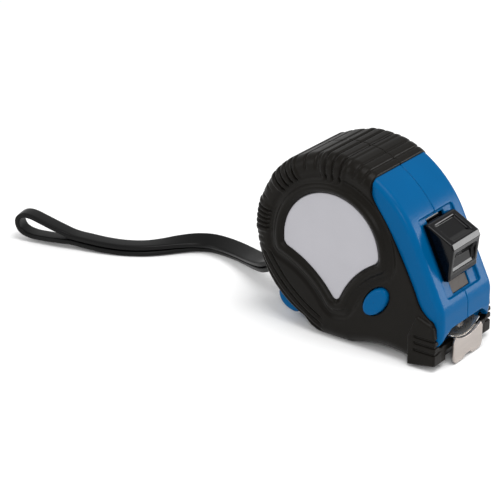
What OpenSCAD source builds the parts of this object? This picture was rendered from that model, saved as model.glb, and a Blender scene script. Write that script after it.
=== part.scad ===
// Pocket tape measure: 3 m x 16 mm blade, thumb lock, two stop buttons, belt clip and wrist strap.
// X points to the hook, Y across the case, Z up. The drum axis stands over the origin, on the floor Z = 0.

/* [Case] */
// Radius of the round part of the case, over the rubber
case_r = 28.6; // [28.4:0.1:28.8]
// Height of the drum axis over the floor
axis_z = 30.2; // [30.1:0.1:30.4]
// Radius of the bulge between the top and the flat front face
front_r = 36; // [34:1:38]
// Angle of the front face from the vertical
face_a = 26; // [25:0.5:27]
// Length of the flat front face
face_len = 21.5; // [21:0.5:22]
// Half width of the blue case shells
case_half = 14.2; // [14:0.1:14.4]
// Wall of the blue case shells
wall = 1.8; // [1.6:0.1:2]
// Clear height of the blade mouth over the floor
mouth_top = 12.2; // [12:0.1:12.6]

/* [Rubber grips] */
// Thickness of the rubber over the rim of the case
skin = 1.9; // [1.8:0.1:2]
// Half width of the case over the rubber sides
side_half = 15.2; // [15:0.1:15.4]
// Half width over the feet and the rims round the labels
foot_half = 16; // [15.8:0.1:16.2]
// Radius of the round edges of the rubber
edge_r = 4; // [3:0.5:5]
// Radius of the round part of the label
label_r = 17; // [16.6:0.2:17.4]
// Width of the raised rim round the label
rim_w = 3.4; // [3:0.1:3.6]
// Width and depth of the ribs' grooves
groove = 0.7; // [0.5:0.1:0.9]

/* [Blade and drum] */
// Width of the blade
blade_w = 16; // [15.8:0.1:16.2]
// Height of the blade's trough over the floor
blade_z = 7.5; // [7.4:0.1:7.6]
// Radius of the blade's curved section
blade_r = 15.6; // [15:0.2:16]
// Outer radius of the wound blade
coil_r = 21.4; // [21:0.1:21.6]
// Radius of the drum's rim
drum_r = 18.2; // [18:0.1:18.3]
// Radius of the centre post
post_r = 3; // [2.9:0.1:3.1]

/* [Controls] */
// Half width of the thumb lock
lock_half = 7.7; // [7:0.1:7.8]
// How far the thumb lock stands out of the face
lock_out = 6.8; // [6.4:0.1:7]
// Height of the rear stop button over the round of the case
belly_out = 5.1; // [4.6:0.1:5.4]
// How far the side stop button stands out of the side of the grip
button_out = 1.2; // [1:0.1:1.4]

/* [Belt clip] */
// Width of the belt clip
clip_w = 14; // [12:1:14]
// Gap between the belt clip and the rim of the label
clip_gap = 3.3; // [3:0.1:3.5]

/* [Strap] */
// Width of the strap
strap_w = 5.5; // [5.4:0.1:5.6]
// Thickness of one layer of the strap
strap_t = 1.75; // [1.7:0.05:1.8]

/* [Hidden] */
$fn = 64;
eps = 0.01;
// Radial play of turning parts and of screws in their holes
fit = 0.06;

BLUE = "#0b6cb4";
RUBBER = "#1d1d1b";
BLACK = "#151516";
SILVER = "#b9b8bd";
STEEL = "#c9c4c0";
NICKEL = "#d6d4cf";
WHITE = "#e9e6de";
TAN = "#a49a8b";

// ---- side outline ------------------------------------------------------------------------

// Point at radius r and angle a round c
function polar(c, r, a) = [c[0] + r*cos(a), c[1] + r*sin(a)];
// Points along an arc from a0 to a1
function arc(c, r, a0, a1, n) = [for (i = [0:n]) polar(c, r, a0 + (a1 - a0)*i/n)];

AXIS = [0, axis_z];
// Where the top of the case meets the front bulge, and where the round ends under the rear
top_a = 60.7;
rear_a = 248.5;
nose_r = 8;
case_floor = 5.2;
floor_wall = 1;
inner_half = case_half - wall;

// The underside: a flat hump under the drum, an arch, and the front foot
hump_rear = -5;
hump_front = 7;
arch_x = 19;
arch_h = 2.4;
arch_dip = 1.6;
foot_rear = 29.2;
foot_front = 37.8;
foot_heel = 0.5;
foot_lift = 2.2;

front_c = polar(AXIS, case_r - front_r, top_a);
face_top = polar(front_c, front_r, face_a);
face_foot = [face_top[0] + face_len*sin(face_a), face_top[1] - face_len*cos(face_a)];
nose_c = polar(face_foot, -nose_r, face_a);
nose_x = nose_c[0] + nose_r;

// The front of the case from the mouth up to the top, moved in by d
function front_line(d) = concat(
    arc(nose_c, nose_r - d, 0, face_a, 6),
    arc(front_c, front_r - d, face_a, top_a, 12));

// Height of the arch between the hump and the foot
function arch_z(x) = x < arch_x
    ? arch_h*sin(90*(x - hump_front)/(arch_x - hump_front))
    : arch_h - arch_dip*pow((x - arch_x)/(foot_rear - arch_x), 2);

// Side outline over the rubber, moved in by d
function skin_line(d) = concat(
    [[foot_front - d, foot_lift + d], [foot_front - d, 8], [nose_x - 0.6 - d, mouth_top - 2]],
    front_line(d),
    arc(AXIS, case_r - d, top_a, rear_a, 48),
    [[-8, 1.2 + d], [hump_rear, d], [hump_front, d]],
    [for (x = [9:3:27]) [x, arch_z(x) + d]],
    [[foot_rear, foot_heel + d]]);

// Side outline of the shells, moved in by d, with the floor raised by f
function body_line(d, f) = concat(
    [[0, case_floor + f], [nose_x - 2.4 - d, case_floor + f],
        [nose_x - 0.6 - d, 8.2], [nose_x - d, mouth_top]],
    front_line(d),
    arc(AXIS, case_r - d, top_a, 250, 48));

// Front edge of the rubber on the side of the case, from the top to the foot
GRIP_EDGE = [[14.3, 62], [14.3, 56.4], [13.4, 52.5], [14.2, 48.8], [19.2, 42.5], [24.2, 34],
    [29.2, 24.5], [31.2, 19.5], [33.7, 16.8], [37, 14.8], [38.4, 10], [38.4, -2]];

module front_region(dx = 0) {
    translate([dx, 0]) polygon(concat(GRIP_EDGE, [[60, -2], [60, 62]]));
}

// The blue shells' side outline: full size in front of the rubber, under it elsewhere
module case_2d(d = 0) {
    intersection() {
        polygon(body_line(d, 0));
        front_region();
    }
    polygon(body_line(skin, 0));
    translate(AXIS) circle(r = case_r - skin, $fn = 96);
}

// The shells' nose round the mouth, which lies between the two feet of the grips
module nose_2d(d = 0) {
    intersection() {
        polygon(body_line(d, 0));
        translate([mouth_x, nose_foot]) square([10, nose_top - nose_foot]);
    }
}

// The hollow inside the shells
module hollow_2d() {
    intersection() {
        polygon(body_line(wall, floor_wall));
        front_region(wall);
    }
    polygon(body_line(skin + wall, floor_wall));
    translate(AXIS) circle(r = case_r - skin - wall, $fn = 96);
}

// ---- frames and slabs --------------------------------------------------------------------

// A slab of a side outline on the near side, between y0 and y1 from the middle plane
module slab(y0, y1) {
    translate([0, -y0, 0]) rotate([90, 0, 0]) linear_extrude(y1 - y0) children();
}
// A slab of a side outline on both sides of the middle plane
module bar(half) {
    slab(-half, half) children();
}
// Slabs from y0 out to the width half, stepping in over an edge of radius r; they set $inset
module rounded(y0, half, r, steps = 4) {
    for (i = [0:steps - 1]) {
        a = 90*i/steps;
        b = 90*(i + 1)/steps;
        $inset = r*(1 - cos((a + b)/2));
        slab(i == 0 ? y0 : half - r + r*sin(a) - eps, half - r + r*sin(b)) children();
    }
}
module far() {
    mirror([0, 1, 0]) children();
}
// A frame on the front face: x along its outward normal, z up along it, from its foot
module on_face() {
    translate([face_foot[0], 0, face_foot[1]]) rotate([0, -face_a, 0]) children();
}
// A frame on the drum axis with x pointing along the radius at angle a
module on_radius(a) {
    translate([0, 0, axis_z]) rotate([0, -a, 0]) children();
}
// A box from three ranges
module box(x, y, z) {
    translate([x[0], y[0], z[0]]) cube([x[1] - x[0], y[1] - y[0], z[1] - z[0]]);
}
// A round pin along Y on the near side, at the side point p
module pin(p, r, y0, y1) {
    slab(y0, y1) translate(p) circle(r = r, $fn = 32);
}

// ---- case shells -------------------------------------------------------------------------

case_edge = 2.4;
boss_r = 1.9;
screw_r = 1;
head_r = 1.9;
clip_screw_r = 1.5;
BOSSES = [[20.6, 46.2], [28.4, 15.8], polar(AXIS, 24.5, 189)];
hub_r = 5;
hub_in = 9.6;
recess = [1.2, 26];
recess_half = 9;
recess_deep = 0.9;
slot = [1.7, 25.2];
slot_half = 4.7;
// The blade mouth, seen from the front
MOUTH = [[8.4, mouth_top], [11, 10.6], [13, 8.6], [13.6, 7.4], [13.6, 4]];
mouth_x = 35.2;
nose_foot = 7;
nose_top = 19.5;
chin_half = 9.5;

button_at = [16.6, 17.2];
button_tilt = 52;
button_size = [5.6, 3.1];
button_play = 0.35;

belly_a = 232.6;
belly_half = 10.5;
belly_play = 0.4;

pocket_x = -20.4;
pocket_half = 3.4;
pocket_z = [13.9, 19.1];
strap_x = -23.4;

module oval(grow = 0) {
    translate(button_at) rotate(button_tilt)
        polygon([for (a = [0:9:351]) [(button_size[0] + grow)*cos(a), (button_size[1] + grow)*sin(a)]]);
}

module mouth_cut() {
    points = concat(MOUTH, [for (i = [len(MOUTH) - 1:-1:0]) [-MOUTH[i][0], MOUTH[i][1]]]);
    translate([mouth_x, 0, 0]) rotate([90, 0, 90]) linear_extrude(8) polygon(points);
}

module belly_cut() {
    on_radius(belly_a)
        box([22.5, 45], [-belly_half - belly_play, belly_half + belly_play], [-5.6, 6.2]);
}

module pocket_cut() {
    box([-40, pocket_x], [-pocket_half, pocket_half], pocket_z);
}

module lock_cut() {
    on_face() {
        box([-recess_deep, 4], [-recess_half, recess_half], recess);
        box([-4, 4], [-slot_half, slot_half], slot);
    }
}

// One shell, on the near side
module shell() {
    difference() {
        union() {
            rounded(0, case_half, case_edge) case_2d($inset);
            rounded(0, case_half, case_edge) nose_2d($inset);
        }
        slab(-eps, inner_half) hollow_2d();
        // Way for the blade and the hook's tongue through the foot of the front wall
        box([30, 37], [-chin_half, eps], [case_floor + floor_wall, mouth_top]);
        mouth_cut();
        lock_cut();
        belly_cut();
        pocket_cut();
    }
    // Bearing for the centre post
    difference() {
        pin(AXIS, hub_r, hub_in, inner_half + eps);
        pin(AXIS, post_r + fit, hub_in - 1, inner_half);
    }
    // Ledge behind the spring of the rear button
    on_radius(belly_a) box([13.5, 15.2], [-inner_half - eps, -hub_in], [-2, 2]);
}

module screw_bosses() {
    for (p = BOSSES) pin(p, boss_r, 0, inner_half + eps);
}

module left_case() {
    color(BLUE) far() difference() {
        union() {
            shell();
            screw_bosses();
        }
        for (p = BOSSES) {
            pin(p, screw_r + fit, -1, inner_half + 1);
            pin(p, head_r + fit, inner_half + 0.2, 20);
        }
        pin(AXIS, clip_screw_r + fit, inner_half - 1, 20);
    }
}

module right_case() {
    color(BLUE) difference() {
        union() {
            shell();
            screw_bosses();
        }
        for (p = BOSSES) pin(p, screw_r + fit, -1, inner_half - 0.4);
        slab(inner_half - 1, 20) oval(button_play);
    }
}

// ---- rubber grips and labels -------------------------------------------------------------

// Angles round the drum axis of the ribs' grooves
RIBS = [83, 89.5, 95.5, 125, 130, 135, 140, 165, 168.5, 172, 175.5, 179];
rib_foot_r = 22;
// Radii and angles of the three long grooves at the lower rear
LONG_GROOVES = [23.4, 24.9, 26.4];
long_a = [198, 262];
FOOT_GROOVES = [5.9, 8.2, 10.2];
FOOT = [[28.4, foot_heel], [28.2, 9.6], [31, 16.6], [37, 14.6],
    [foot_front, 9], [foot_front, foot_lift]];

// The two arcs that cut the round label to its shield shape: centre and radius
SHIELD = [[[-27.1, -6.3], 34.9], [[30.5, 3.8], 29]];

module label_2d(grow = 0) {
    difference() {
        translate(AXIS) circle(r = label_r + grow, $fn = 96);
        for (s = SHIELD) translate(s[0]) circle(r = s[1] - grow, $fn = 128);
    }
}

module rib_cuts() {
    for (a = RIBS) on_radius(a) {
        box([case_r - groove, 40], [-20, eps], [-groove/2, groove/2]);
        box([rib_foot_r, 40], [-20, -side_half + groove], [-groove/2, groove/2]);
    }
    slab(side_half - groove, 20) for (r = LONG_GROOVES) intersection() {
        difference() {
            translate(AXIS) circle(r = r + groove/2, $fn = 96);
            translate(AXIS) circle(r = r - groove/2, $fn = 96);
        }
        polygon(concat([AXIS], arc(AXIS, 60, long_a[0], long_a[1], 4)));
    }
}

// One grip, on the near side
module grip() {
    difference() {
        rounded(0, side_half, edge_r, 6) difference() {
            polygon(skin_line($inset));
            front_region();
        }
        slab(-eps, case_half) {
            case_2d();
            nose_2d();
        }
        slab(case_half - eps, 20) label_2d();
        rib_cuts();
        mouth_cut();
        belly_cut();
        pocket_cut();
        box([29, 50], [-chin_half - 0.1, eps], [-1, case_floor + eps]);
    }
    // Raised rim round the label
    slab(side_half - groove - eps, foot_half) difference() {
        label_2d(rim_w);
        label_2d();
    }
    // Front foot
    difference() {
        slab(case_half, foot_half) polygon(FOOT);
        for (z = FOOT_GROOVES)
            box([30.5, 37], [-20, -foot_half + groove], [z - groove/2, z + groove/2]);
    }
}

module left_grip() {
    color(RUBBER) far() difference() {
        grip();
        for (p = BOSSES) pin(p, head_r + fit, case_half - 4, 20);
    }
}

module right_grip() {
    color(RUBBER) difference() {
        grip();
        slab(inner_half, 20) oval(button_play);
    }
}

label_face = side_half - 0.1;

module right_label() {
    color(SILVER) slab(case_half, label_face) label_2d();
}

module left_label() {
    color(SILVER) far() difference() {
        slab(case_half, label_face) label_2d();
        pin(AXIS, clip_screw_r + fit, case_half - 1, 20);
    }
}

// ---- stop buttons ------------------------------------------------------------------------

flange_y = [11.5, 12.3];
leaf_len = 10;
leaf_w = 3;

module side_button() {
    color(BLUE) {
        rounded(flange_y[0], side_half + button_out, 1, 3) oval(-$inset);
        slab(flange_y[0], flange_y[1]) oval(0.9);
        pin(button_at, 1.2, 10.6, flange_y[0]);
    }
}

// A leaf spring on the button's flange, bent up to the shell at its free end
module side_button_spring() {
    color(STEEL) {
        slab(flange_y[0] - 0.3, flange_y[0]) difference() {
            translate(button_at) rotate(button_tilt)
                translate([-2, -leaf_w/2]) square([leaf_len + 2, leaf_w]);
            translate(button_at) circle(r = 1.2 + eps, $fn = 32);
        }
        slab(flange_y[0] - 0.3, flange_y[1]) translate(button_at) rotate(button_tilt)
            translate([leaf_len - 0.6, -leaf_w/2]) square([0.6, leaf_w]);
    }
}

// The rear button's dome, as radius and height across it
dome_r = case_r + belly_out;
DOME = [[25.3, -5.2], [dome_r - 3.1, -5], [dome_r - 0.9, -3.2], [dome_r, -0.6], [dome_r - 0.4, 2.2],
    [dome_r - 2.1, 5.2], [25.3, 5.6]];
ear_r = [23, 23.9];
belly_spring_y = 10.9;

module belly_button() {
    color(BLUE) on_radius(belly_a) {
        bar(belly_half - 1.2) polygon(DOME);
        for (s = [-1, 1]) {
            translate([0, s*(belly_half - 0.7), 0]) bar(0.7)
                polygon([for (p = DOME) [min(p[0], dome_r - 1.4), p[1]*0.94]]);
            box([ear_r[0], 26], s > 0 ? [9.5, belly_half] : [-belly_half, -9.5], [-4.8, 5]);
            box(ear_r, s > 0 ? [9.5, 11.8] : [-11.8, -9.5], [-6.6, 6.6]);
        }
    }
}

// ---- swept tubes -------------------------------------------------------------------------

function unit(v) = v/norm(v);
// A closed skin over rings of the same number of points
module skin_over(rings) {
    n = len(rings[0]);
    last = len(rings) - 1;
    polyhedron(
        points = [for (ring = rings) each ring],
        faces = concat(
            [[for (i = [0:n - 1]) i]],
            [for (k = [0:last - 1], i = [0:n - 1])
                [k*n + i, (k + 1)*n + i, (k + 1)*n + (i + 1) % n, k*n + (i + 1) % n]],
            [[for (i = [n - 1:-1:0]) last*n + i]]));
}

wire_r = 0.22;
spring_r = 0.88;
spring_x = [17.5, ear_r[0]];
spring_turns = 7;

// A compression spring along x: closed ends and open turns between them
module coil_spring() {
    n = 12*spring_turns;
    travel = spring_x[1] - spring_x[0] - 2*wire_r;
    skin_over([for (k = [0:n])
        let (a = 30*k, x = spring_x[0] + wire_r + travel*k/n)
        [for (i = [0:5]) let (r = spring_r + wire_r*cos(60*i)*0.98)
            [x + wire_r*sin(60*i)*0.98, r*cos(a), r*sin(a)]]]);
}

module belly_button_springs() {
    color(STEEL) on_radius(belly_a)
        for (s = [-1, 1]) translate([0, s*belly_spring_y, 0]) coil_spring();
}

// ---- thumb lock --------------------------------------------------------------------------

// Section of the thumb lock: height over the face, distance up the face
LOCK = [[-0.6, 6.4], [0.9, 6], [1.9, 6.6], [2.3, 7.6], [lock_out - 0.6, 13.9], [lock_out, 14.6],
    [lock_out, 16.5], [lock_out - 0.4, 17], [1.3, 23.7], [0.6, 24.1], [-0.6, 24.1]];
stem_half = 2;
stem = [12, 18.5];
plate_h = [-3.1, -2.05];

module lock_slide() {
    color(BLACK) on_face() {
        difference() {
            bar(lock_half) polygon(LOCK);
            // Thumb rest in the sloping top
            bar(5.2) polygon([[7, 18], [5.2, 17.2], [4.6, 17.6], [1.4, 21.8], [1.6, 22.8], [7, 23]]);
            // Hollow front
            bar(5.8) polygon([[7, 8], [2.1, 8.4], [3.2, 11.6], [5.6, 13.6], [7, 13.8]]);
        }
        box([-3.4, -0.6 + eps], [-stem_half, stem_half], stem);
    }
}

shoe_half = 5.5;
shoe_x = [31, 32.6];
shoe_foot = 13.4;

// The shoe that stops the blade, on the lock's stem behind the slot plate
module brake_shoe() {
    color(BLACK) {
        on_face() box([-5, -3.4], [-shoe_half, shoe_half], [6, stem[1]]);
        bar(shoe_half) polygon([[shoe_x[1] - 0.4, 24.5], [shoe_x[0], 23.9], [shoe_x[0], shoe_foot],
            [shoe_x[1], shoe_foot], [shoe_x[1], 21.5]]);
    }
}

module slot_plate() {
    color(BLACK) on_face() difference() {
        box(plate_h, [-inner_half, inner_half], [-0.3, 25.6]);
        box([-4, 0], [-stem_half - 0.3, stem_half + 0.3], [7.1, 18.9]);
    }
}

module index_tag() {
    color(TAN) on_face() box([plate_h[1], -1.3], [-4.5, 4.5], [1.9, 6.4]);
}

// ---- blade, hook and drum ----------------------------------------------------------------

blade_t = 0.25;
blade_x = [8.6, 38.4];
blade_c = [0, blade_z + blade_r];
rivet_x = 33.5;
rivet_a = 15;
rivet_r = 1;
hook_float = 1;
hook_x = 38.9;
hook_t = 0.9;
tongue_r = blade_r + blade_t + 0.05;
tongue_t = 0.6;

// A strip of the blade's curved section, along X
module trough(r, t, half_a, x) {
    translate([x[0], 0, 0]) rotate([90, 0, 90]) linear_extrude(x[1] - x[0])
        polygon(concat(arc(blade_c, r, -90 - half_a, -90 + half_a, 16),
            arc(blade_c, r + t, -90 + half_a, -90 - half_a, 16)));
}

// A pin square to the blade at the angle a across it, between two radii of its section
module blade_pin(x, a, r, r0, r1) {
    translate([x, 0, blade_c[1]]) rotate([a, 0, 0]) translate([0, 0, -r1])
        cylinder(r = r, h = r1 - r0, $fn = 32);
}

module blade() {
    color(NICKEL) difference() {
        trough(blade_r, blade_t, asin(blade_w/2/blade_r), blade_x);
        for (s = [-1, 1]) blade_pin(rivet_x, s*rivet_a, rivet_r, blade_r - 1, blade_r + 1);
    }
}

module hook_rivets() {
    color(STEEL) for (s = [-1, 1]) {
        blade_pin(rivet_x, s*rivet_a, 1.6, blade_r - 0.7, blade_r - 0.1);
        blade_pin(rivet_x, s*rivet_a, rivet_r, blade_r - 0.3, tongue_r + 0.8);
        blade_pin(rivet_x, s*rivet_a, 1.5, tongue_r + tongue_t + 0.05, tongue_r + 1);
    }
}

// One side of the hook's plate, seen from the front, from the notch in its foot to its corner
HOOK = [[1.7, 1.2], [1.9, 0.7], [3, 0.3], [6, 0.3], [7.2, 0.6], [7.8, 1.4], [8, 2.4], [8, 7.4]];

module end_hook() {
    color(STEEL) {
        difference() {
            trough(tongue_r, tongue_t, 20, [29.5, hook_x + eps]);
            // The rivets' slots, which let the hook float by its own thickness
            for (s = [-1, 1], x = [0, hook_float])
                blade_pin(rivet_x - x, s*rivet_a, rivet_r + 0.12, blade_r, blade_r + 2);
            for (s = [-1, 1]) translate([rivet_x - hook_float/2, 0, blade_c[1]]) rotate([s*rivet_a, 0, 0])
                box([-hook_float/2, hook_float/2], [-rivet_r - 0.12, rivet_r + 0.12], [-18, -14]);
        }
        translate([hook_x, 0, 0]) rotate([90, 0, 90]) linear_extrude(hook_t)
            polygon(concat(HOOK, arc(blade_c, tongue_r, -90 + 24.5, -90 - 24.5, 16),
                [for (i = [len(HOOK) - 1:-1:0]) [-HOOK[i][0], HOOK[i][1]]]));
    }
}

drum_in = 17;
drum_half = 8.4;
disc_r = 22;
disc_out = 9;

// A strip wound from radius r0 to r1 in the given number of turns
module spiral(r0, r1, t, turns, per_turn = 24) {
    n = turns*per_turn;
    polygon(concat(
        [for (i = [0:n]) polar(AXIS, r0 + t + (r1 - r0 - t)*i/n, 360*i/per_turn)],
        [for (i = [n:-1:0]) polar(AXIS, r0 + (r1 - r0 - t)*i/n, 360*i/per_turn)]));
}

module blade_coil() {
    color(NICKEL) bar(blade_w/2) spiral(drum_r + 0.16, coil_r, 0.3, 4);
}

module power_spring() {
    color(STEEL) bar(6.9) {
        spiral(4.4, 16.7, 0.4, 8);
        translate([post_r + 0.15, axis_z - 0.2]) square([1.5, 0.4]);
    }
}

module drum() {
    color(BLUE) {
        difference() {
            pin(AXIS, drum_r, -drum_half, drum_half, $fn = 64);
            pin(AXIS, drum_in, -drum_half - 1, drum_half - 1, $fn = 64);
            pin(AXIS, post_r + fit, -20, 20);
        }
    }
}

module disc() {
    difference() {
        union() {
            slab(drum_half, disc_out) translate(AXIS) circle(r = disc_r, $fn = 96);
            pin(AXIS, hub_r, disc_out - eps, disc_out + 0.3);
        }
        pin(AXIS, post_r + fit, 0, 20);
    }
}

module right_disc() {
    color(WHITE) disc();
}

module left_disc() {
    color(WHITE) far() disc();
}

module centre_post() {
    color(STEEL) far() difference() {
        pin(AXIS, post_r, -inner_half, inner_half);
        pin(AXIS, clip_screw_r, 5, 20);
    }
}

module case_screws() {
    color(STEEL) far() for (p = BOSSES) {
        pin(p, screw_r, -inner_half + 1.4, inner_half + 0.4);
        pin(p, head_r, inner_half + 0.2, case_half - 0.2);
    }
}

// ---- belt clip ---------------------------------------------------------------------------

clip_t = 1;
arm_y = foot_half + clip_gap;

module belt_clip() {
    color(STEEL) difference() {
        translate([-clip_w/2, 0, 0]) rotate([90, 0, 90]) linear_extrude(clip_w)
            polygon([[label_face, 24.2], [label_face, 36.6], [17.4, 40.4], [arm_y + 0.3, 40.4],
                [arm_y + clip_t, 38.6], [arm_y + clip_t, 15], [arm_y + 2.7, 11.6],
                [arm_y + 1.8, 11.2], [arm_y, 14.8], [arm_y, 38.2], [arm_y - 0.4, 39.2],
                [18, 39.2], [label_face + clip_t, 36.4], [label_face + clip_t, 24.2]]);
        far() pin(AXIS, clip_screw_r + fit, 10, 18);
        far() pin(AXIS, 3.4, 18, 30);
    }
}

module clip_screw() {
    color(STEEL) far() {
        pin(AXIS, clip_screw_r, 5.6, label_face + clip_t + eps);
        pin(AXIS, 2.8, label_face + clip_t, label_face + clip_t + 1.5);
    }
}

// ---- mouth guide and strap ---------------------------------------------------------------

module blade_guide() {
    color(BLACK) bar(chin_half)
        polygon([[foot_rear, foot_heel + 0.5], [36.4, foot_lift + 0.2], [36.6, 5.4], [36.4, 6.1],
            [35.4, 6.1], [35.4, case_floor], [foot_rear, case_floor]]);
}

module strap_anchor() {
    color(BLACK) box([strap_x, pocket_x], [-pocket_half, pocket_half], pocket_z);
}

// Middle line between the two layers of the strap: x, y, z and the lean of the flat faces
STRAP = [[strap_x, 0, 16.5, 0], [-26, 0, 16.5, 0], [-28.8, 0.5, 13.6, 2], [-31.6, 1.2, 10.6, 6],
    [-36, 2.8, 8.3, 14], [-41, 5.4, 6.9, 22], [-47, 8.8, 5.5, 28], [-54, 12, 4.4, 30],
    [-61, 14, 3.6, 30], [-67, 14.2, 3.2, 28], [-72, 12, 2.9, 22], [-76, 8.2, 2.6, 12],
    [-79.5, 4.2, 2.2, 4], [-83.5, 0.2, 2, 0], [-89, -3.4, 2, 0], [-95, -6, 2.3, 0],
    [-100.5, -7.8, 2.8, 0], [-106, -9.4, 3.4, 0]];
// Distance of each layer's middle from that line
layer = 1.02;
// The open loop at the far end, from the lower layer round to the upper one
LOOP = [[-110.5, -10.8, 2.3], [-115.5, -11.9, 2.1], [-120.5, -13, 2.2], [-124, -13.7, 3.3],
    [-125.4, -14, 5.5], [-125.2, -14, 7.7], [-123.2, -13.6, 9.1], [-120.3, -13, 9.1],
    [-116, -12.1, 7.8], [-111, -10.9, 6.1]];
LOOP_ACROSS = unit([0.28, -1, 0]);

function place(i) = [STRAP[i][0], STRAP[i][1], STRAP[i][2]];
function along(i) = unit(place(min(i + 1, len(STRAP) - 1)) - place(max(i - 1, 0)));
function level(i) = unit(cross([0, 0, 1], along(i)));
function across(i) = level(i)*cos(STRAP[i][3]) - cross(along(i), level(i))*sin(STRAP[i][3]);
function layer_at(i, s) = place(i) + s*layer*cross(along(i), across(i));

STRAP_N = len(STRAP) - 1;
// Every ring of the strap: its centre and the direction across it
ROUTE = concat(
    [for (i = [0:STRAP_N]) [layer_at(i, -1), across(i)]],
    [for (p = LOOP) [p, LOOP_ACROSS]],
    [for (i = [STRAP_N:-1:0]) [layer_at(i, 1), across(i)]]);
STRAP_SECTION = [for (s = [[1, 0.54], [0.86, 1], [-0.86, 1], [-1, 0.54], [-1, -0.54], [-0.86, -1],
    [0.86, -1], [1, -0.54]]) [s[0]*strap_w/2, s[1]*strap_t/2]];

function run(k) = k == 0 || k == len(ROUTE) - 1
    ? [k == 0 ? -1 : 1, 0, 0]
    : unit(ROUTE[k + 1][0] - ROUTE[k - 1][0]);

module wrist_strap() {
    color(BLACK) skin_over([for (k = [0:len(ROUTE) - 1])
        [for (s = STRAP_SECTION)
            ROUTE[k][0] + s[0]*ROUTE[k][1] + s[1]*unit(cross(run(k), ROUTE[k][1]))]]);
}

left_case();
right_case();
left_grip();
right_grip();
left_label();
right_label();
side_button();
side_button_spring();
belly_button();
belly_button_springs();
lock_slide();
brake_shoe();
slot_plate();
index_tag();
blade_guide();
blade();
end_hook();
hook_rivets();
blade_coil();
drum();
left_disc();
right_disc();
power_spring();
centre_post();
case_screws();
strap_anchor();
wrist_strap();
belt_clip();
clip_screw();
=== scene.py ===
# The looks of the tape measure. Lengths in the shapes are millimetres in the CAD frame.
import math

import bmesh
import bpy
import numpy as np
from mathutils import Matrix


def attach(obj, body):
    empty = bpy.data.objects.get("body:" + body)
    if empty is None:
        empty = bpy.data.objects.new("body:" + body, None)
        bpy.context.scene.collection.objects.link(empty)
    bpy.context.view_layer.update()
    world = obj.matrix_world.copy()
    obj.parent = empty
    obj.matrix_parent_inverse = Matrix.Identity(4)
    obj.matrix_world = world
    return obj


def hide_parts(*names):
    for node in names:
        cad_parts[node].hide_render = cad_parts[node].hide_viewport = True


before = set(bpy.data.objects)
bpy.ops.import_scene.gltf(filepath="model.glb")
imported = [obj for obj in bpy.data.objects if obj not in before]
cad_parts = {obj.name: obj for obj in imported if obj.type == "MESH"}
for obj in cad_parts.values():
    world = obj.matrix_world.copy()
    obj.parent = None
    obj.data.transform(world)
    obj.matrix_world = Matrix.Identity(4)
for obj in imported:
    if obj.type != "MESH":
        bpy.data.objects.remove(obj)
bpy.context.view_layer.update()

import openvdb
from mathutils import Matrix, Vector

MM = 0.001

# ---- camera ------------------------------------------------------------------------------

AZIMUTH = math.radians(36.57)
ELEVATION = math.radians(24.31)
CAMERA_AT = Vector((0.3263, -0.4948, 0.2912))
LENS_MM = 154.66

back = Vector((
    math.sin(AZIMUTH)*math.cos(ELEVATION),
    -math.cos(AZIMUTH)*math.cos(ELEVATION),
    math.sin(ELEVATION),
))
camera_data = bpy.data.cameras.new("camera")
camera_data.lens = LENS_MM
camera_data.sensor_width = 36
camera_data.clip_start = 0.01
camera = bpy.data.objects.new("camera", camera_data)
camera.location = CAMERA_AT
camera.rotation_euler = back.to_track_quat("Z", "Y").to_euler()
bpy.context.scene.collection.objects.link(camera)
bpy.context.scene.camera = camera

# ---- sizes, as in the CAD part -----------------------------------------------------------

AXIS = np.array((0.0, 30.2))
CASE_R = 28.6
FRONT_R = 36.0
NOSE_R = 8.0
FACE_A = 26.0
FACE_LEN = 21.5
TOP_A = 60.7
CASE_HALF = 14.2
CASE_EDGE_R = 2.0
CASE_FLOOR = 5.2
WALL = 1.8
FLOOR_WALL = 1.0
INNER_HALF = CASE_HALF - WALL

SKIN = 1.9
SIDE_HALF = 15.2
FOOT_HALF = 16.0
GRIP_EDGE_R = 4.0
UNDER_EDGE_R = 3.0
FOOT_FRONT = 37.8
FOOT_REAR = 29.2
FOOT_HEEL = 0.5
FOOT_LIFT = 2.2
FOOT_GROOVES = (5.9, 8.2, 10.2)
HUMP = (-5.0, 7.0)
ARCH_X = 19.0
ARCH_H = 2.4
ARCH_DIP = 1.6

LABEL_R = 17.0
LABEL_FACE = SIDE_HALF - 0.1
RIM_W = 3.4
SHIELD = [((-27.1, -6.3), 34.9), ((30.5, 3.8), 29.0)]

MOUTH_TOP = 12.2
MOUTH_X = 35.2
MOUTH = [(8.4, MOUTH_TOP), (11, 10.6), (13, 8.6), (13.6, 7.4), (13.6, 4)]
NOSE_Z = (7.0, 19.5)
CHIN_HALF = 9.5

SCREW_AT = [(20.6, 46.2), (28.4, 15.8), (-24.2, 26.4)]
HEAD_R = 1.96
HEAD_FLOOR = 12.6
CLIP_SCREW_R = 1.6

BUTTON_AT = np.array((16.6, 17.2))
BUTTON_TILT = 52.0
BUTTON_SIZE = (5.6, 3.1)
BUTTON_PLAY = 0.35
BUTTON_FACE = 16.4
FLANGE_Y = (11.5, 12.3)

BELLY_A = 232.6
BELLY_HALF = 10.5
BELLY_PLAY = 0.4

BLADE_C = 23.1
BLADE_R = 15.9
HOOK_X = 38.9
HOOK_T = 0.9


def polar(c, r, a):
    a = math.radians(a)
    return np.array((c[0] + r*math.cos(a), c[1] + r*math.sin(a)))


def arc(c, r, a0, a1, n):
    return [polar(c, r, a0 + (a1 - a0)*i/n) for i in range(n + 1)]


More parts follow.
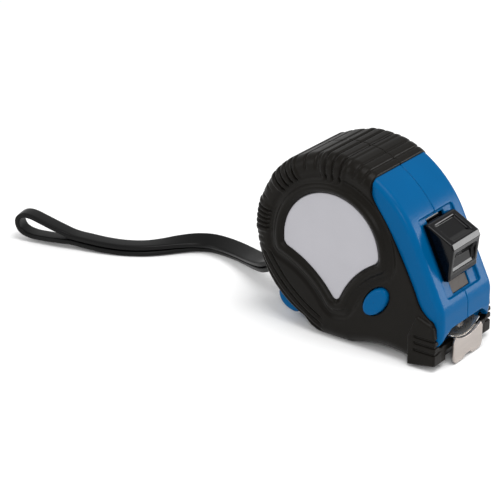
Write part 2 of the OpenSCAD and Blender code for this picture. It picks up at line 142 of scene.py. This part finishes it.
FACE_DOWN = np.array((math.sin(math.radians(FACE_A)), -math.cos(math.radians(FACE_A))))
FRONT_C = polar(AXIS, CASE_R - FRONT_R, TOP_A)
FACE_TOP = polar(FRONT_C, FRONT_R, FACE_A)
FACE_FOOT = FACE_TOP + FACE_LEN*FACE_DOWN
NOSE_C = polar(FACE_FOOT, -NOSE_R, FACE_A)
NOSE_X = NOSE_C[0] + NOSE_R


def front_line(d):
    """The front from the mouth up to the top, moved in by d."""
    return arc(NOSE_C, NOSE_R - d, 0, FACE_A, 12) + arc(FRONT_C, FRONT_R - d, FACE_A, TOP_A, 32)


def arch_z(x):
    """Height of the arch between the hump and the foot."""
    if x < ARCH_X:
        return ARCH_H*math.sin(math.radians(90*(x - HUMP[1])/(ARCH_X - HUMP[1])))
    return ARCH_H - ARCH_DIP*((x - ARCH_X)/(FOOT_REAR - ARCH_X))**2


def skin_line():
    """Side outline over the rubber."""
    return (
        [(FOOT_FRONT, FOOT_LIFT), (FOOT_FRONT, 8), (NOSE_X - 0.6, MOUTH_TOP - 2)]
        + front_line(0)
        + arc(AXIS, CASE_R, TOP_A, 248.5, 160)
        + [(-8, 1.2), (HUMP[0], 0), (HUMP[1], 0)]
        + [(x, arch_z(x)) for x in np.arange(8, 29, 1.0)]
        + [(FOOT_REAR, FOOT_HEEL)]
    )


def body_line(d, floor):
    """Side outline of the shells, moved in by d, with the floor raised."""
    return (
        [(0, CASE_FLOOR + floor), (NOSE_X - 2.4 - d, CASE_FLOOR + floor),
         (NOSE_X - 0.6 - d, 8.2), (NOSE_X - d, MOUTH_TOP)]
        + front_line(d)
        + arc(AXIS, CASE_R - d, TOP_A, 250, 140)
    )


# Front edge of the rubber on the side of the case, from the top to the foot
GRIP_EDGE = [(14.3, 62), (14.3, 56.4), (13.4, 52.5), (14.2, 48.8), (19.2, 42.5), (24.2, 34),
             (29.2, 24.5), (31.2, 19.5), (33.7, 16.8), (37, 14.8), (38.4, 10), (38.4, -2)]
FOOT = [(28.4, FOOT_HEEL), (28.2, 9.6), (31, 16.6), (37, 14.6), (FOOT_FRONT, 9), (FOOT_FRONT, FOOT_LIFT)]


def smooth_line(points, rounds=2):
    """Corner cutting on an open line: each round halves the corners."""
    for _ in range(rounds):
        cut_points = [points[0]]
        for a, b in zip(points, points[1:]):
            a, b = np.array(a), np.array(b)
            cut_points += [0.75*a + 0.25*b, 0.25*a + 0.75*b]
        points = cut_points + [points[-1]]
    return points


# ---- signed distances --------------------------------------------------------------------

class Space:
    """A block of points at the given step; x, y and z broadcast against each other."""

    def __init__(self, low, high, step):
        self.low = np.array(low, float)
        self.step = step
        counts = [int(math.ceil((b - a)/step)) + 1 for a, b in zip(low, high)]
        x, y, z = (self.low[i] + step*np.arange(counts[i]) for i in range(3))
        self.x = x[:, None, None].astype(np.float32)
        self.y = y[None, :, None].astype(np.float32)
        self.z = z[None, None, :].astype(np.float32)
        self.shape = tuple(counts)

    def side_view(self):
        """x and z alone, for distances that are the same across the piece."""
        return self.x[:, 0, 0][:, None], self.z[0, 0, :][None, :]

    def front_view(self):
        """y and z alone, for distances that are the same along the piece."""
        return self.y[0, :, 0][:, None], self.z[0, 0, :][None, :]


def flat(d):
    """A side view's distances, spread across the piece."""
    return d[:, None, :]


def outline(u, v, points):
    """Signed distance to a closed outline, negative inside."""
    points = np.array([tuple(p) for p in points], np.float32)
    u, v = np.broadcast_arrays(u, v)
    nearest = np.full(u.shape, 1e9, np.float32)
    inside = np.zeros(u.shape, bool)
    for a, b in zip(points, np.roll(points, -1, 0)):
        d = b - a
        if not d.any():
            continue
        pu, pv = u - a[0], v - a[1]
        t = np.clip((pu*d[0] + pv*d[1])/(d @ d), 0, 1)
        nearest = np.minimum(nearest, (pu - t*d[0])**2 + (pv - t*d[1])**2)
        crosses = (a[1] > v) != (b[1] > v)
        if abs(d[1]) > 1e-9:
            inside ^= crosses & (u < a[0] + d[0]*(v - a[1])/d[1])
    nearest = np.sqrt(nearest)
    return np.where(inside, -nearest, nearest)


def all_of(first, *others):
    """The room common to every field, with sharp edges."""
    for field in others:
        first = np.maximum(first, field)
    return first


def both(a, b, r=0.0):
    """Where a and b overlap, with an edge rounded by r."""
    if r == 0:
        return np.maximum(a, b)
    outside = np.hypot(np.maximum(a + r, 0), np.maximum(b + r, 0))
    return np.minimum(np.maximum(a + r, b + r), 0) + outside - r


def either(a, b, r=0.0):
    """a and b together, with the inner corner filled by r."""
    if r == 0:
        return np.minimum(a, b)
    return -both(-a, -b, r)


def cut(a, b, r=0.0):
    """a without b, with an edge rounded by r."""
    return both(a, -b, r)


def band(v, low, high):
    return np.maximum(low - v, v - high)


def block(s, x, y, z, r=0.0):
    """A box with edges rounded by r."""
    q = [band(v, a, b) + r for v, (a, b) in zip((s.x, s.y, s.z), (x, y, z))]
    outside = np.sqrt(sum(np.maximum(v, 0)**2 for v in q))
    return outside + np.minimum(all_of(*q), 0) - r


def turned(s, at, a):
    """Distances from a side point along the direction at angle a, and across it."""
    c, n = math.cos(math.radians(a)), math.sin(math.radians(a))
    dx, dz = s.x - at[0], s.z - at[1]
    return dx*c + dz*n, dz*c - dx*n


def rise(v, low, high):
    """A smooth rise from 0 to 1 as v goes from low to high."""
    t = np.clip((v - low)/(high - low), 0, 1)
    return t*t*(3 - 2*t)


def sample(field, base, part):
    """The field between its points, from the corner below and the share of the way past it."""
    last = np.array(field.shape) - 1
    total = 0
    for i in (0, 1):
        for j in (0, 1):
            for k in (0, 1):
                weight = np.prod(np.abs(1 - np.array((i, j, k)) - part), axis=1)
                at = np.minimum(base + (i, j, k), last)
                total = total + weight*field[at[:, 0], at[:, 1], at[:, 2]]
    return total


def slope_of(field, points):
    """The field's unit slope at points given in steps."""
    cell = np.clip(points, 1, np.array(field.shape) - 2.001)
    base = np.floor(cell).astype(int)
    part = cell - base
    ways = np.eye(3, dtype=int)
    slope = np.stack([sample(field, base + way, part) - sample(field, base - way, part) for way in ways], 1)
    return slope/np.maximum(np.linalg.norm(slope, axis=1), 1e-6)[:, None]


def skin_of(name, space, field, place=None):
    """A mesh over the zero level of a field, in metres in the row frame."""
    field = np.ascontiguousarray(np.broadcast_to(field, space.shape), dtype=np.float32)
    grid = openvdb.FloatGrid(background=3*space.step)
    grid.copyFromArray(np.clip(field, -3*space.step, 3*space.step))
    points, quads = grid.convertToQuads(isovalue=0.0)
    points = points.astype(float)
    slope = slope_of(field, points)
    points = (space.low + points*space.step)*MM
    mesh = bpy.data.meshes.new(name)
    mesh.from_pydata(points.tolist(), [], quads[:, ::-1].tolist())
    if place is not None:
        mesh.transform(place)
        slope = slope @ np.array(place.to_3x3()).T
    mesh.validate()
    mesh.shade_smooth()
    # The faces have to look the way the field rises
    face_normals = np.zeros(len(mesh.polygons)*3)
    mesh.polygons.foreach_get("normal", face_normals)
    corner_slopes = slope[[p.vertices[0] for p in mesh.polygons]]
    if (face_normals.reshape(-1, 3)*corner_slopes).sum() < 0:
        mesh.flip_normals()
    if len(slope) == len(mesh.vertices):
        mesh.normals_split_custom_set_from_vertices(slope.tolist())
    piece = bpy.data.objects.new(name, mesh)
    bpy.context.scene.collection.objects.link(piece)
    return piece


def add(piece, body, node, skin_material):
    """Puts a piece on its body in place of a CAD node."""
    piece.data.materials.append(skin_material)
    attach(piece, body)
    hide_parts(node)


# ---- materials ---------------------------------------------------------------------------

def linear(code):
    """A hex colour in the linear values that shaders take."""
    parts = [int(code[i:i + 2], 16)/255 for i in (0, 2, 4)]
    return [p/12.92 if p <= 0.04045 else ((p + 0.055)/1.055)**2.4 for p in parts] + [1.0]


# Scale of the slow drift of colour and of the fine grain in the roughness, per metre
DRIFT_SCALE = 70.0
GRAIN_SCALE = 900.0
BUMP_DEPTH = 0.0001
ROUGH_SPREAD = 0.12


def material(name, colour, rough, metal=0.0, specular=0.5, shade=0.12, bump=0.05,
             bump_scale=2500.0, stretch=(1, 1, 1)):
    """A surface with a slow drift of colour, a fine grain in the roughness, and a bump."""
    m = bpy.data.materials.new(name)
    m.use_nodes = True
    nodes, links = m.node_tree.nodes, m.node_tree.links
    shader = nodes["Principled BSDF"]
    place = nodes.new("ShaderNodeTexCoord")
    stretched = nodes.new("ShaderNodeMapping")
    stretched.inputs["Scale"].default_value = stretch
    links.new(place.outputs["Object"], stretched.inputs["Vector"])

    def noise(scale, detail):
        n = nodes.new("ShaderNodeTexNoise")
        n.inputs["Scale"].default_value = scale
        n.inputs["Detail"].default_value = detail
        links.new(stretched.outputs["Vector"], n.inputs["Vector"])
        return n.outputs["Fac"]

    drift = nodes.new("ShaderNodeValToRGB")
    base = linear(colour)
    for element, at, factor in zip(drift.color_ramp.elements, (0.3, 0.7), (1 - shade, 1 + shade)):
        element.position = at
        element.color = [min(1, c*factor) for c in base[:3]] + [1]
    links.new(noise(DRIFT_SCALE, 3.0), drift.inputs["Fac"])
    links.new(drift.outputs["Color"], shader.inputs["Base Color"])
    spread = nodes.new("ShaderNodeMapRange")
    spread.inputs["To Min"].default_value = rough*(1 - ROUGH_SPREAD)
    spread.inputs["To Max"].default_value = rough*(1 + ROUGH_SPREAD)
    links.new(noise(GRAIN_SCALE, 4.0), spread.inputs["Value"])
    links.new(spread.outputs["Result"], shader.inputs["Roughness"])
    raised = nodes.new("ShaderNodeBump")
    raised.inputs["Strength"].default_value = bump
    raised.inputs["Distance"].default_value = BUMP_DEPTH
    links.new(noise(bump_scale, 3.0), raised.inputs["Height"])
    links.new(raised.outputs["Normal"], shader.inputs["Normal"])
    shader.inputs["Metallic"].default_value = metal
    shader.inputs["Specular IOR Level"].default_value = specular
    return m


BLUE = material("blue_abs", "004e7e", 0.22, specular=0.05, shade=0.04, bump=0.03)
RUBBER = material("black_rubber", "110f0c", 0.36, specular=0.09, shade=0.1, bump=0.2, bump_scale=4200)
SILVER = material("silver_label", "a5a4a9", 0.42, metal=0.35, shade=0.02, bump=0.06, bump_scale=5200)
BLACK = material("black_abs", "030304", 0.13, specular=0.2, shade=0.12, bump=0.03)
TAG = material("index_card", "3d352f", 0.6, shade=0.1, bump=0.1)
STEEL = material("satin_steel", "aaa29c", 0.34, metal=0.9, shade=0.05, bump=0.1, stretch=(1, 1, 6))
NICKEL = material("bright_blade", "d8d6d2", 0.16, metal=0.85, shade=0.03, bump=0.04)
WHITE = material("white_nylon", "dedbd2", 0.45, shade=0.04, bump=0.06)
STRAP = material("strap_weave", "0a0a0a", 0.34, specular=0.14, shade=0.15, bump=0.12, bump_scale=3000)

# ---- the near half of the case; the far half is its mirror image -------------------------

half = Space((-30.5, -17.5, -1.5), (41, 1.5, 60.5), 0.25)
x2, z2 = half.side_view()
side = -half.y
radius = np.hypot(x2, z2 - AXIS[1])
turn = np.degrees(np.arctan2(z2 - AXIS[1], x2)) % 360
front = outline(x2, z2, smooth_line(GRIP_EDGE) + [(60, -2), (60, 62)])


def label(grow=0.0, r=1.4):
    """The label's shield shape."""
    shape = radius - LABEL_R - grow
    for c, size in SHIELD:
        shape = both(shape, size - grow - np.hypot(x2 - c[0], z2 - c[1]), r)
    return shape


def oval(u, v, grow=0.0):
    """The side button's oval, near enough to a distance close to its edge."""
    c, s = math.cos(math.radians(BUTTON_TILT)), math.sin(math.radians(BUTTON_TILT))
    long_half, short_half = BUTTON_SIZE[0] + grow, BUTTON_SIZE[1] + grow
    p = ((u - BUTTON_AT[0])*c + (v - BUTTON_AT[1])*s)/long_half
    q = ((v - BUTTON_AT[1])*c - (u - BUTTON_AT[0])*s)/short_half
    size = np.hypot(p, q)
    slope = np.hypot(p/long_half, q/short_half)
    return size*(size - 1)/np.maximum(slope, 0.05)


def case_solid():
    """The shells without their hollow: full size in front of the rubber, thinner under it."""
    body2 = outline(x2, z2, body_line(0, 0))
    under2 = np.minimum(outline(x2, z2, body_line(SKIN, 0)), radius - CASE_R + SKIN)
    nose2 = all_of(body2, MOUTH_X - x2, band(z2, *NOSE_Z))
    full = both(both(flat(body2), side - CASE_HALF, CASE_EDGE_R), flat(front), 0.05)
    under = both(flat(under2), side - CASE_HALF, UNDER_EDGE_R)
    nose = both(flat(nose2), side - CASE_HALF, CASE_EDGE_R)
    return either(either(full, under), nose)


def case_hollow():
    inset = SKIN + WALL
    behind = np.minimum(outline(x2, z2, body_line(inset, FLOOR_WALL)), radius - CASE_R + inset)
    ahead = np.maximum(outline(x2, z2, body_line(WALL, FLOOR_WALL)), front + WALL)
    return all_of(flat(np.minimum(behind, ahead)), side - INNER_HALF)


def lock_cuts(shell):
    """The recess round the thumb lock and its slot."""
    face_out, face_up = turned(half, FACE_FOOT, FACE_A)
    recess = both(both(band(face_up, 1.2, 26), side - 9, 0.8), -0.9 - face_out, 0.2)
    slot = np.maximum(both(band(face_up, 1.7, 25.2), side - 4.7, 0.4), -5 - face_out)
    return cut(cut(shell, recess, 0.25), slot, 0.1)


def mouth_cuts(shell):
    """The blade's mouth and the way to it through the foot of the front wall."""
    v, w = half.front_view()
    mouth2 = outline(-v, w, [(-20, MOUTH_TOP)] + MOUTH + [(-20, 4)])[None, :, :]
    shell = cut(shell, np.maximum(mouth2, MOUTH_X - half.x), 0.35)
    way = block(half, (30, 37), (-CHIN_HALF, CHIN_HALF), (CASE_FLOOR + FLOOR_WALL, MOUTH_TOP))
    return cut(shell, way)


def rear_holes():
    """The rear button's opening and the strap's pocket."""
    out, over = turned(half, AXIS, BELLY_A)
    belly_hole = all_of(22.5 - out, band(over, -5.6, 6.2), side - BELLY_HALF - BELLY_PLAY)
    pocket = block(half, (-45, -20.4), (-3.4, 3.4), (13.9, 19.1), 0.4)
    return np.minimum(belly_hole, pocket)


def screw_holes():
    """The counterbores for the heads of the screws, in the far half only."""
    heads = np.full(radius.shape, 1e3, np.float32)
    for c in SCREW_AT:
        heads = np.minimum(heads, np.hypot(x2 - c[0], z2 - c[1]) - HEAD_R)
    return np.maximum(flat(heads), HEAD_FLOOR - side)


button_hole = np.maximum(flat(oval(x2, z2, BUTTON_PLAY)), 11 - side)
rear = rear_holes()
heads = screw_holes()

solid_case = case_solid()
shell = mouth_cuts(lock_cuts(cut(solid_case, case_hollow())))
shell = both(np.maximum(shell, -rear), half.y + 0.03, 0.12)

# Grooves across the rubber, in groups: angles, radius of their inner ends, depth
RIB_GROUPS = [
    ((83, 89.5, 95.5), 21.4, 0.8),
    ((124, 129.5, 135, 140.5), 22.2, 1.0),
    ((165, 168.5, 172, 175.5, 179), 22.6, 0.9),
    ((103, 112), 24.5, 0.45),
    ((66, 72), 25.5, 0.4),
    ((150, 157, 187, 192), 25, 0.35),
]
RIB_WIDTH = 0.33
DEEP = 0.7
# The three long grooves at the lower rear: their common centre, their radii and their depth
LONG_C = (14.3, 44.6)
LONG_RADII = (46.2, 44.2, 42.2)
LONG_DEPTH = 0.8
# How far the rubber stands proud along its front edge at the top
LIP = 0.5


def apart(a):
    """Degrees round the drum axis from the angle a."""
    return (turn - a + 180) % 360 - 180


def rib_relief():
    """Height of the rubber's relief: the ribs' grooves, with the deep groups on raised ground."""
    relief = 0
    for group, inward, depth in RIB_GROUPS:
        reach = rise(radius, inward - 0.6, inward + 0.4)
        for a in group:
            off = np.radians(apart(a))
            line = np.where(np.abs(off) < 1, radius*np.sin(off), 99)
            relief = relief - depth*np.exp(-(line/RIB_WIDTH)**2)*reach
        if depth > DEEP:
            middle = (group[0] + group[-1])/2
            spread = (group[-1] - group[0])/2 + 3
            relief = relief + 0.35*rise(-np.abs(apart(middle)), -spread - 1.2, -spread)*reach
    return relief


def long_relief():
    """The long grooves at the lower rear."""
    out = np.hypot(x2 - LONG_C[0], z2 - LONG_C[1])
    below = rise(turn, 195, 200)*rise(-turn, -266, -260)*rise(radius, 20.5, 21.5)
    return sum(-LONG_DEPTH*np.exp(-((out - r)/0.36)**2)*below for r in LONG_RADII)


def grip_solid():
    """The near grip with its relief, the rim round the label and the front foot."""
    smooth = both(flat(outline(x2, z2, skin_line())), side - SIDE_HALF, GRIP_EDGE_R)
    relief = rib_relief() + long_relief()
    relief = relief + LIP*rise(-turn, -82, -76)*rise(turn, 50, 55)*rise(radius, 23, 27)
    # A shallow valley outside the rim
    relief = relief - 0.5*rise(-np.abs(label(RIM_W + 1.6, 2.0)), -1.5, 0)
    grip = smooth - flat(relief)
    rim = both(label(RIM_W, 2.0), -label(0.2), 1.0)
    grip = either(grip, both(flat(rim), band(side, 12, FOOT_HALF + 0.3), 1.9), 0.4)
    grip = either(grip, front_foot(), 0.3)
    grip = both(grip, -flat(front), 0.35)
    # A thin skin of rubber is left under the deepest grooves
    return np.minimum(grip, all_of(smooth, -flat(front), solid_case - 0.2))


def front_foot():
    foot = both(flat(outline(x2, z2, FOOT)), band(side, 12, FOOT_HALF), 0.5)
    for z in FOOT_GROOVES:
        foot = cut(foot, all_of(np.abs(half.z - z) - 0.4, 30.5 - half.x, -0.6 - foot), 0.15)
    return foot


label_well = np.maximum(flat(label()), CASE_HALF - side)
chin_room = all_of(FOOT_REAR - 0.2 - half.x, side - CHIN_HALF - 0.1, half.z - CASE_FLOOR)
grip = all_of(grip_solid(), -solid_case, -label_well, -rear, -chin_room)
grip = both(grip, half.y + 0.02, 0.08)
plate = both(flat(label(-0.06)), band(side, CASE_HALF, LABEL_FACE), 0.15)
clip_hole = flat(radius) - CLIP_SCREW_R

MIRROR = Matrix.Scale(-1, 4, (0, 1, 0))
for name, field, place, node, slot_name, skin_material in [
    ("near_case", np.maximum(shell, -button_hole), None, "right_case", "blue_case", BLUE),
    ("far_case", np.maximum(shell, -heads), MIRROR, "left_case", "blue_case", BLUE),
    ("near_grip", np.maximum(grip, -button_hole), None, "right_grip", "rubber_grip", RUBBER),
    ("far_grip", np.maximum(grip, -heads), MIRROR, "left_grip", "rubber_grip", RUBBER),
    ("near_label", plate, None, "right_label", "label_plate", SILVER),
    ("far_label", np.maximum(plate, -clip_hole), MIRROR, "left_label", "label_plate", SILVER),
]:
    add(skin_of(name, half, field, place), "case", node, skin_material)

# ---- thumb lock, in the frame of the front face ------------------------------------------

LOCK = [(-0.6, 6.4), (0.9, 6), (1.9, 6.6), (2.3, 7.6), (6.2, 13.9), (6.8, 14.6),
        (6.8, 16.5), (6.4, 17), (1.3, 23.7), (0.6, 24.1), (-0.6, 24.1)]
THUMB_REST = [(9, 17), (6.2, 17.1), (5.2, 17.7), (4.6, 18.1), (1.5, 22.2), (1.8, 23), (9, 23)]
SCOOP = [(9, 8), (2.3, 8.2), (2.2, 9.2), (3.2, 11.8), (5.2, 13.4), (9, 13.8)]
LOCK_HALF = 7.7


def thumb_lock():
    space = Space((-1.2, -8.4, 5), (7.6, 8.4, 25), 0.12)
    u, w = space.side_view()
    over = np.abs(space.y)
    lock = both(flat(outline(u, w, LOCK)), over - LOCK_HALF, 0.6)
    lock = cut(lock, both(flat(outline(u, w, THUMB_REST)), over - 5.4, 0.5), 0.3)
    lock = cut(lock, both(flat(outline(u, w, SCOOP)), over - 6.1, 0.8), 0.3)
    face_frame = Matrix.Translation(Vector((FACE_FOOT[0], 0, FACE_FOOT[1]))*MM)
    face_frame = face_frame @ Matrix.Rotation(-math.radians(FACE_A), 4, "Y")
    return skin_of("thumb_lock", space, lock, face_frame)


add(thumb_lock(), "lock", "lock_slide", BLACK)

# ---- end hook ----------------------------------------------------------------------------

# One side of the hook's plate, seen from the front
HOOK = [(1.7, 1.2), (1.9, 0.7), (3, 0.3), (6, 0.3), (7.2, 0.6), (7.8, 1.4), (8, 2.4), (8, 7.4), (7.4, 8.3),
        (6.6, 9.2)]
TONGUE_T = 0.6
TONGUE_HALF_A = 20
RIVET_X = 33
RIVET_A = 15
RIVET_HOLE_R = 1.12


def end_hook():
    space = Space((28.5, -8.8, -0.4), (40.6, 8.8, 10.2), 0.12)
    across = np.hypot(space.y, space.z - BLADE_C)
    lean = np.degrees(np.arctan2(np.abs(space.y), BLADE_C - space.z))
    edge = (lean - TONGUE_HALF_A)*math.radians(BLADE_R + 0.15)
    tongue = both(band(across, BLADE_R, BLADE_R + TONGUE_T), edge, 0.1)
    tongue = both(tongue, band(space.x, 29.5, HOOK_X + 0.4), 0.25)
    for sign in (-1, 1):
        a = math.radians(RIVET_A*sign)
        over = space.y*math.cos(a) + (space.z - BLADE_C)*math.sin(a)
        along = np.maximum(np.abs(space.x - RIVET_X) - 0.5, 0)
        tongue = np.maximum(tongue, RIVET_HOLE_R - np.hypot(along, over))
    v, w = space.front_view()
    plate2 = outline(v, w, HOOK + [(-p[0], p[1]) for p in reversed(HOOK)])[None, :, :]
    plate = both(plate2, band(space.x, HOOK_X, HOOK_X + HOOK_T), 0.3)
    plate = np.maximum(plate, BLADE_R - across)
    return skin_of("hook_plate", space, either(plate, tongue, 0.4))


add(end_hook(), "hook", "end_hook", STEEL)

# ---- stop buttons ------------------------------------------------------------------------

DOME = [(25.3, -5.2), (30.6, -5), (32.8, -3.2), (33.7, -0.6), (33.3, 2.2), (31.6, 5.2), (25.3, 5.6)]
EAR_R = 23
LEG_Y = 9.5


def side_stop():
    space = Space((9, -17, 9), (24, -10.2, 26), 0.14)
    u, w = space.side_view()
    out = -space.y
    dome = both(flat(oval(u, w)), band(out, FLANGE_Y[0], BUTTON_FACE), 1.0)
    flange = np.maximum(flat(oval(u, w, 0.9)), band(out, *FLANGE_Y))
    stem = np.maximum(flat(np.hypot(u - BUTTON_AT[0], w - BUTTON_AT[1])) - 1.2, band(out, 10.6, 12))
    return skin_of("side_stop_button", space, either(either(dome, flange), stem))


def rear_stop():
    space = Space((22.4, -12.4, -7.2), (34.4, 12.4, 7.2), 0.16)
    u, w = space.side_view()
    over = np.abs(space.y)
    dome = both(flat(outline(u, w, smooth_line(DOME))), over - BELLY_HALF, 1.6)
    legs = all_of(band(space.x, EAR_R, 27), band(over, LEG_Y, BELLY_HALF), band(space.z, -4.8, 5))
    ears = all_of(band(space.x, EAR_R, EAR_R + 0.9), band(over, LEG_Y, 11.8), np.abs(space.z) - 6.6)
    belly_frame = Matrix.Translation(Vector((0, 0, AXIS[1]))*MM)
    belly_frame = belly_frame @ Matrix.Rotation(-math.radians(BELLY_A), 4, "Y")
    return skin_of("rear_stop_button", space, either(dome, either(legs, ears)), belly_frame)


add(side_stop(), "side_stop", "side_button", BLUE)
add(rear_stop(), "rear_stop", "belly_button", BLUE)

# ---- wrist strap -------------------------------------------------------------------------

STRAP_W = 5.5
STRAP_T = 1.75
# Distance of each layer's middle from the line between the two
LAYER = 1.02
# The line between the layers: x, y, z and the lean of the flat faces
STRAP_LINE = [
    (-23.4, 0, 16.5, 0), (-26, 0, 16.5, 0), (-28.8, 0.5, 13.6, 2), (-31.6, 1.2, 10.6, 6),
    (-36, 2.8, 8.3, 14), (-41, 5.4, 6.9, 22), (-47, 8.8, 5.5, 28), (-54, 12, 4.4, 30),
    (-61, 14, 3.6, 30), (-67, 14.2, 3.2, 28), (-72, 12, 2.9, 22), (-76, 8.2, 2.6, 12),
    (-79.5, 4.2, 2.2, 4), (-83.5, 0.2, 2, 0), (-89, -3.4, 2, 0), (-95, -6, 2.3, 0),
    (-100.5, -7.8, 2.8, 0), (-106, -9.4, 3.4, 0),
]
# The open loop at the far end, from the lower layer round to the upper one
LOOP = [
    (-110.5, -10.8, 2.3), (-115.5, -11.9, 2.1), (-120.5, -13, 2.2), (-124, -13.7, 3.3),
    (-125.4, -14, 5.5), (-125.2, -14, 7.7), (-123.2, -13.6, 9.1), (-120.3, -13, 9.1),
    (-116, -12.1, 7.8), (-111, -10.9, 6.1),
]
STEPS_BETWEEN = 5
SECTION_POINTS = 28
# Powers that square up the round section of the strap
SQUARE_W = 0.3
SQUARE_T = 0.45


def unit(v):
    return v/np.linalg.norm(v)


def strap_rings():
    """Centres and directions across the strap, out along the lower layer and back along the upper."""
    line = np.array(STRAP_LINE, float)
    at, roll = line[:, :3], np.radians(line[:, 3])
    along = [unit(at[min(i + 1, len(at) - 1)] - at[max(i - 1, 0)]) for i in range(len(at))]
    wide, lift = [], []
    for t, r in zip(along, roll):
        level = unit(np.cross((0, 0, 1), t))
        w = level*math.cos(r) - np.cross(t, level)*math.sin(r)
        wide.append(w)
        lift.append(np.cross(t, w))
    loop_wide = unit(np.array((0.28, -1, 0)))
    lower = [(p - LAYER*n, w) for p, n, w in zip(at, lift, wide)]
    upper = [(p + LAYER*n, w) for p, n, w in zip(at, lift, wide)]
    return lower + [(np.array(p, float), loop_wide) for p in LOOP] + upper[::-1]


def through(values, steps):
    """A smooth curve through the values, the same number of steps between each two."""
    v = np.array(values, float)
    ends = np.vstack([2*v[0] - v[1], v, 2*v[-1] - v[-2]])
    made = []
    for i in range(len(v) - 1):
        a, b, c, d = ends[i:i + 4]
        for k in range(steps):
            t = k/steps
            made.append(0.5*(2*b + (c - a)*t + (2*a - 5*b + 4*c - d)*t*t + (3*b - a - 3*c + d)*t**3))
    return np.array(made + [v[-1]])


def strap_section():
    points = []
    for a in np.linspace(0, 2*math.pi, SECTION_POINTS, endpoint=False):
        c, s = math.cos(a), math.sin(a)
        wide = math.copysign(abs(c)**SQUARE_W, c)*STRAP_W/2
        thick = math.copysign(abs(s)**SQUARE_T, s)*STRAP_T/2
        points.append((wide, thick))
    return points


def strap_piece(centres, widths):
    """The strip as one closed skin over its rings."""
    section = strap_section()
    runs = np.gradient(centres, axis=0)
    runs[0], runs[-1] = (-1, 0, 0), (1, 0, 0)
    body = bmesh.new()
    loops = []
    for centre, run, wide in zip(centres, runs, widths):
        up = unit(np.cross(run, wide))
        loops.append([body.verts.new((centre + unit(wide)*a + up*b)*MM) for a, b in section])
    for one, two in zip(loops, loops[1:]):
        for i in range(len(section)):
            j = (i + 1) % len(section)
            body.faces.new((one[i], two[i], two[j], one[j]))
    body.faces.new(loops[0])
    body.faces.new(loops[-1][::-1])
    bmesh.ops.recalc_face_normals(body, faces=body.faces)
    mesh = bpy.data.meshes.new("wrist_strap")
    body.to_mesh(mesh)
    body.free()
    mesh.shade_smooth()
    piece = bpy.data.objects.new("strap", mesh)
    bpy.context.scene.collection.objects.link(piece)
    return piece


rings = strap_rings()
centres = through([r[0] for r in rings], STEPS_BETWEEN)
widths = through([r[1] for r in rings], STEPS_BETWEEN)
strap = strap_piece(centres, widths)
add(strap, "case", "wrist_strap", STRAP)

# ---- the CAD nodes that are kept ---------------------------------------------------------

KEPT = {
    "side_button_spring": STEEL, "belly_button_springs": STEEL, "brake_shoe": BLACK, "slot_plate": BLACK,
    "index_tag": TAG, "blade_guide": BLACK, "blade": NICKEL, "hook_rivets": STEEL, "blade_coil": NICKEL,
    "drum": BLUE, "left_disc": WHITE, "right_disc": WHITE, "power_spring": STEEL, "centre_post": STEEL,
    "case_screws": STEEL, "strap_anchor": BLACK, "belt_clip": STEEL, "clip_screw": STEEL,
}
# Width of the rounding of their sharp edges
BEVELS = {"blade_guide": 0.4, "belt_clip": 0.25, "clip_screw": 0.3, "case_screws": 0.2, "index_tag": 0.1,
          "slot_plate": 0.15}
for name, skin_material in KEPT.items():
    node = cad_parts[name]
    for node_slot in node.material_slots:
        node_slot.material = skin_material
    if name in BEVELS:
        bevel = node.modifiers.new("edges", "BEVEL")
        bevel.width = BEVELS[name]*MM
        bevel.segments = 3
        bevel.limit_method = "ANGLE"

# ---- floor, light ------------------------------------------------------------------------

FLOOR_HALF = 3
FLOOR_GAP = 0.00005
WORLD_LIGHT = 0.66

floor_mesh = bpy.data.meshes.new("floor")
floor_mesh.from_pydata(
    [(FLOOR_HALF*x, FLOOR_HALF*y, 0) for x, y in ((-1, -1), (1, -1), (1, 1), (-1, 1))], [], [(0, 1, 2, 3)])
floor = bpy.data.objects.new("floor", floor_mesh)
floor.location.z = -FLOOR_GAP
bpy.context.scene.collection.objects.link(floor)
floor_mesh.materials.append(material("floor_paper", "f4f4f4", 0.7, specular=0.2, shade=0.005, bump=0.02))

world = bpy.data.worlds.new("studio")
bpy.context.scene.world = world
world.use_nodes = True
world.node_tree.nodes["Background"].inputs["Color"].default_value = (1, 1, 1, 1)
world.node_tree.nodes["Background"].inputs["Strength"].default_value = WORLD_LIGHT


def lamp(name, at, target, size, power):
    data = bpy.data.lights.new(name, "AREA")
    data.shape = "RECTANGLE"
    data.size, data.size_y = size
    data.energy = power
    light = bpy.data.objects.new(name, data)
    light.location = at
    light.rotation_euler = (Vector(at) - Vector(target)).to_track_quat("Z", "Y").to_euler()
    bpy.context.scene.collection.objects.link(light)


lamp("key", (0.25, -0.1, 0.75), (0, 0, 0.03), (0.5, 0.5), 4.4)
lamp("side", (-0.5, -0.5, 0.35), (0, 0, 0.03), (0.4, 0.5), 1.4)
lamp("front", (0.62, 0.66, 0.2), (0.02, 0, 0.03), (0.3, 0.3), 3.2)
lamp("edge", (0.55, -0.72, 0.5), (0, 0, 0.03), (0.12, 0.12), 1.6)
bpy.context.scene.view_settings.view_transform = "Standard"
